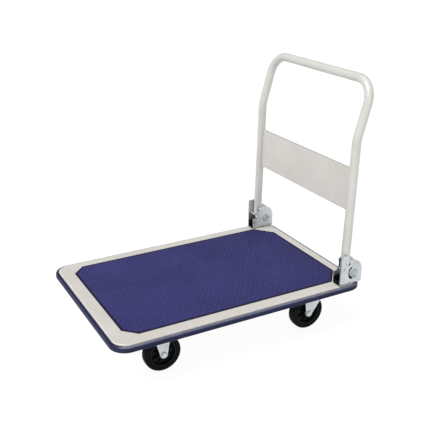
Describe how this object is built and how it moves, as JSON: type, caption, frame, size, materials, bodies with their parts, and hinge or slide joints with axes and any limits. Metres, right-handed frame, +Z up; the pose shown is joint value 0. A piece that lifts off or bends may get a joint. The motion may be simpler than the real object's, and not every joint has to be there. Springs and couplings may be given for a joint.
{
  "type": "platform truck",
  "caption": "Flat platform truck: cream steel deck with a dark mat and rubber edge, folding tubular push handle with a panel, rigid front and swivel rear casters.",
  "frame": {"origin": "on the floor under the middle of the whole object's bounding box", "axes": "+X across the truck, +Y along it from the front end towards the handle, +Z up"},
  "size_m": [0.6154, 0.9169, 0.8809],
  "materials": {
    "cream_paint": "semi-gloss stove enamel",
    "mat_vinyl": "embossed vinyl sheet",
    "bumper_rubber": "matt moulded rubber",
    "frame_steel": "painted steel",
    "zinc_plate": "bright zinc plating",
    "tyre_rubber": "solid rubber tread",
    "hub_plastic": "moulded nylon"
  },
  "bodies": {
    "deck": {"deck_pan": "cream_paint", "deck_mat": "mat_vinyl", "edge_bumper": "bumper_rubber", "front_channel": "frame_steel", "rear_channel": "frame_steel", "stiffener_left": "frame_steel", "stiffener_right": "frame_steel", "bracket_left": "zinc_plate", "bracket_bolt_left_front": "zinc_plate", "bracket_bolt_left_rear": "zinc_plate", "pivot_bolt_left": "zinc_plate", "pivot_nut_left": "zinc_plate", "stop_pin_left": "zinc_plate", "plate_front_left": "zinc_plate", "plate_rear_left": "zinc_plate", "fork_front_left": "zinc_plate", "axle_bolt_front_left": "zinc_plate", "axle_nut_front_left": "zinc_plate", "axle_sleeve_front_left": "zinc_plate", "kingpin_rear_left": "zinc_plate", "bracket_right": "zinc_plate", "bracket_bolt_right_front": "zinc_plate", "bracket_bolt_right_rear": "zinc_plate", "pivot_bolt_right": "zinc_plate", "pivot_nut_right": "zinc_plate", "stop_pin_right": "zinc_plate", "plate_front_right": "zinc_plate", "plate_rear_right": "zinc_plate", "fork_front_right": "zinc_plate", "axle_bolt_front_right": "zinc_plate", "axle_nut_front_right": "zinc_plate", "axle_sleeve_front_right": "zinc_plate", "kingpin_rear_right": "zinc_plate"},
    "handle": {"handle_tube": "cream_paint", "handle_panel": "cream_paint"},
    "latch_left_lever": {"latch_left": "zinc_plate"},
    "latch_right_lever": {"latch_right": "zinc_plate"},
    "swivel_left": {"fork_rear_left": "zinc_plate", "axle_bolt_rear_left": "zinc_plate", "axle_nut_rear_left": "zinc_plate", "axle_sleeve_rear_left": "zinc_plate"},
    "swivel_right": {"fork_rear_right": "zinc_plate", "axle_bolt_rear_right": "zinc_plate", "axle_nut_rear_right": "zinc_plate", "axle_sleeve_rear_right": "zinc_plate"},
    "wheel_front_left": {"tyre_front_left": "tyre_rubber", "hub_front_left": "hub_plastic"},
    "wheel_front_right": {"tyre_front_right": "tyre_rubber", "hub_front_right": "hub_plastic"},
    "wheel_rear_left": {"tyre_rear_left": "tyre_rubber", "hub_rear_left": "hub_plastic"},
    "wheel_rear_right": {"tyre_rear_right": "tyre_rubber", "hub_rear_right": "hub_plastic"}
  },
  "joints": [
    {"name": "handle_fold", "type": "hinge", "parent": "deck", "child": "handle", "pos_m": [0, 0.38039, 0.263], "axis": [1, 0, 0], "range_deg": [0, 91.6]},
    {"name": "latch_left_turn", "type": "hinge", "parent": "deck", "child": "latch_left_lever", "pos_m": [-0.28, 0.40722, 0.222], "axis": [1, 0, 0], "range_deg": [0, 38]},
    {"name": "latch_right_turn", "type": "hinge", "parent": "deck", "child": "latch_right_lever", "pos_m": [0.28, 0.40722, 0.222], "axis": [1, 0, 0], "range_deg": [0, 38]},
    {"name": "swivel_left_turn", "type": "hinge", "parent": "deck", "child": "swivel_left", "pos_m": [-0.2, 0.31822, 0.15], "axis": [0, 0, 1], "continuous": true},
    {"name": "swivel_right_turn", "type": "hinge", "parent": "deck", "child": "swivel_right", "pos_m": [0.2, 0.31822, 0.15], "axis": [0, 0, 1], "continuous": true},
    {"name": "wheel_front_left_spin", "type": "hinge", "parent": "deck", "child": "wheel_front_left", "pos_m": [-0.2, -0.26678, 0.0625], "axis": [1, 0, 0], "continuous": true},
    {"name": "wheel_front_right_spin", "type": "hinge", "parent": "deck", "child": "wheel_front_right", "pos_m": [0.2, -0.26678, 0.0625], "axis": [1, 0, 0], "continuous": true},
    {"name": "wheel_rear_left_spin", "type": "hinge", "parent": "swivel_left", "child": "wheel_rear_left", "pos_m": [-0.2, 0.28622, 0.0625], "axis": [1, 0, 0], "continuous": true},
    {"name": "wheel_rear_right_spin", "type": "hinge", "parent": "swivel_right", "child": "wheel_rear_right", "pos_m": [0.2, 0.28622, 0.0625], "axis": [1, 0, 0], "continuous": true}
  ]
}
